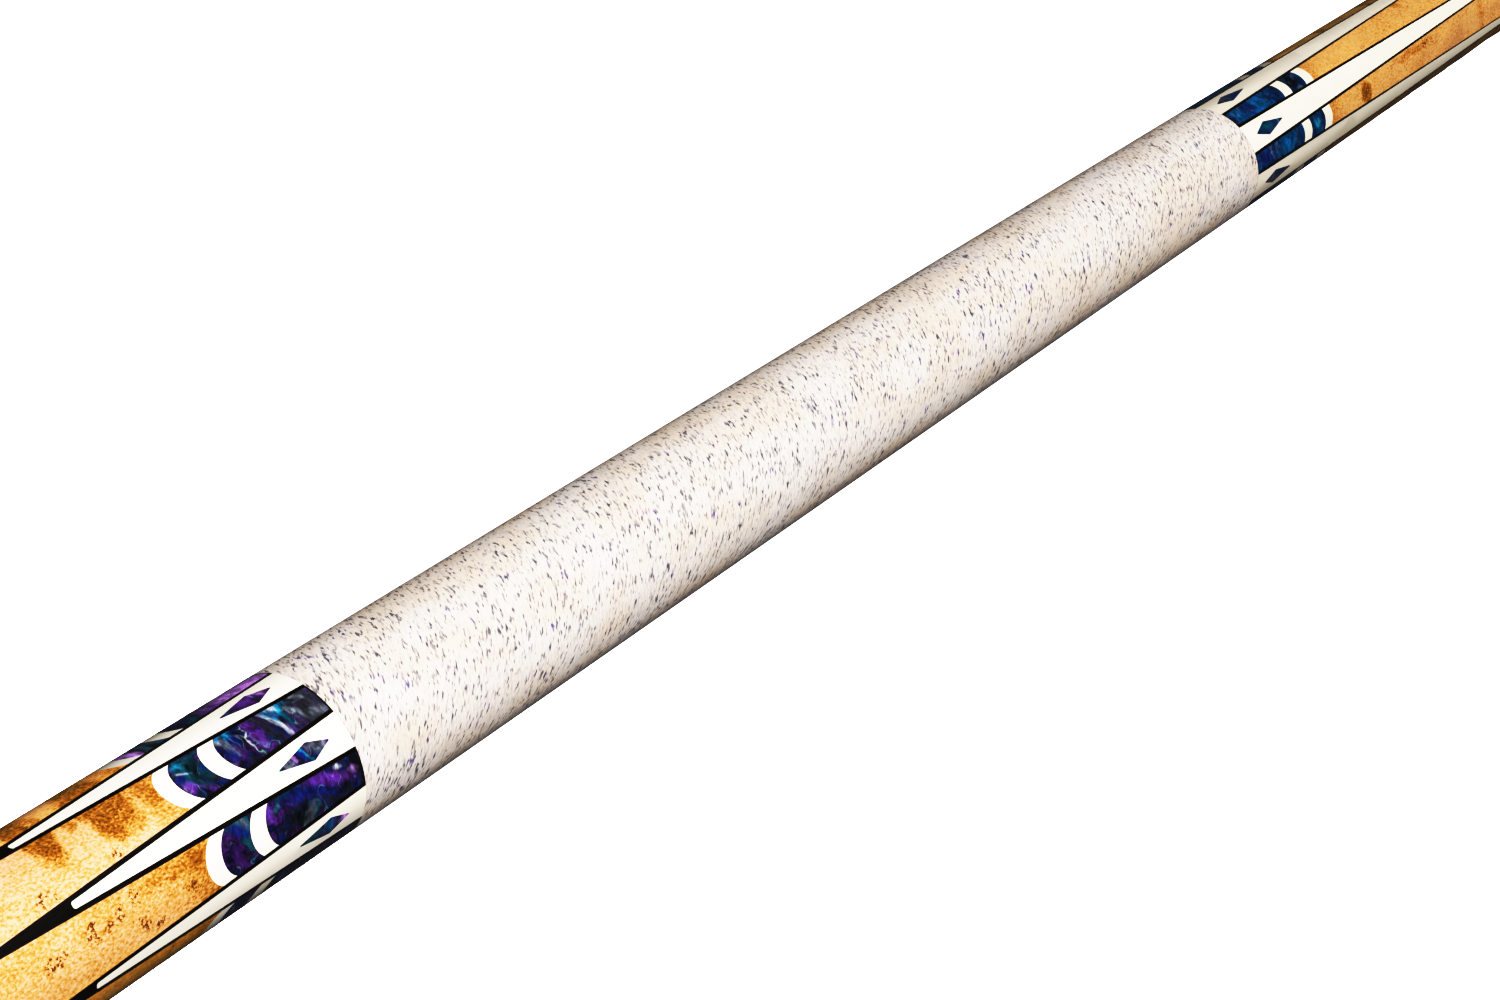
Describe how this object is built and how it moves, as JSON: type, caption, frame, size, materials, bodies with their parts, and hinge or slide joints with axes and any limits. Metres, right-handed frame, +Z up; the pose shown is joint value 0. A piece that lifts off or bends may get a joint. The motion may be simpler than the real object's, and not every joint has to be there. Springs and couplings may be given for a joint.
{
  "type": "pool cue",
  "caption": "Two-piece tapered pool cue with a linen-wrapped grip, inlaid butt and forearm, threaded centre joint, slim maple shaft, white ferrule and leather tip.",
  "frame": {"origin": "on the cue's axis at the joint face, where the butt and the shaft meet, which is half way along the cue", "axes": "+X along the cue from the bumper towards the tip, +Z up with the cue lying level; the first white spear faces 41 degrees up from the -Y side"},
  "size_m": [1.4732, 0.0316, 0.0316],
  "materials": {
    "bumper": "moulded black rubber",
    "steel": "turned and threaded steel",
    "ring_metal": "polished silver-coloured ring",
    "phenolic": "polished black phenolic",
    "burl": "stained burl maple under a clear gloss coat",
    "black_inlay": "black ebony-like inlay under a clear gloss coat",
    "white_inlay": "warm white inlay under a clear gloss coat",
    "pearl_inlay": "swirled blue and violet pearl acrylic under a clear gloss coat",
    "handle_wood": "plain turned maple",
    "linen": "pressed cream linen thread with dark flecks",
    "brass": "machined brass",
    "shaft_maple": "smooth hard maple, satin sealed",
    "ferrule": "polished white ferrule",
    "fibre": "black vulcanised fibre",
    "tip_leather": "pressed layered leather, chalked dome"
  },
  "bodies": {
    "butt": {"weight_bolt": "steel", "forearm_stud": "steel", "joint_pin": "steel", "butt_ring_rear": "ring_metal", "butt_ring_front": "ring_metal", "joint_ring_rear": "ring_metal", "joint_ring_front": "ring_metal", "butt_cap": "phenolic", "joint_collar": "phenolic", "butt_sleeve": "burl", "forearm": "burl", "sleeve_black_points": "black_inlay", "forearm_black_points": "black_inlay", "sleeve_white_spears": "white_inlay", "sleeve_inner_crescents": "white_inlay", "sleeve_outer_crescents": "white_inlay", "forearm_white_spears": "white_inlay", "forearm_inner_crescents": "white_inlay", "forearm_outer_crescents": "white_inlay", "sleeve_diamonds": "pearl_inlay", "sleeve_large_windows": "pearl_inlay", "sleeve_small_windows": "pearl_inlay", "forearm_diamonds": "pearl_inlay", "forearm_large_windows": "pearl_inlay", "forearm_small_windows": "pearl_inlay", "butt_ring_pearl": "pearl_inlay", "joint_ring_pearl": "pearl_inlay", "handle_core": "handle_wood", "linen_wrap": "linen"},
    "bumper": {"bumper": "bumper"},
    "shaft_trim": {"shaft_ring_rear": "ring_metal"},
    "shaft": {"shaft_collar": "phenolic", "shaft_ring_pearl": "pearl_inlay", "shaft_ring_front": "ring_metal", "shaft_insert": "brass", "shaft": "shaft_maple", "ferrule": "ferrule", "tip_pad": "fibre", "tip": "tip_leather"}
  },
  "joints": [
    {"name": "bumper_pull", "type": "slide", "parent": "butt", "child": "bumper", "axis": [-1, 0, 0], "range_m": [0, 0.03]},
    {"name": "shaft_advance", "type": "slide", "parent": "butt", "child": "shaft_trim", "axis": [1, 0, 0], "range_m": [0, 0.03048]},
    {"name": "shaft_unscrew", "type": "hinge", "parent": "shaft_trim", "child": "shaft", "pos_m": [0, 0, 0], "axis": [1, 0, 0], "range_deg": [0, 4321]}
  ],
  "couplings": [
    {"joint": "shaft_unscrew", "follows": "shaft_advance", "rad_per_m": 2473.7}
  ]
}
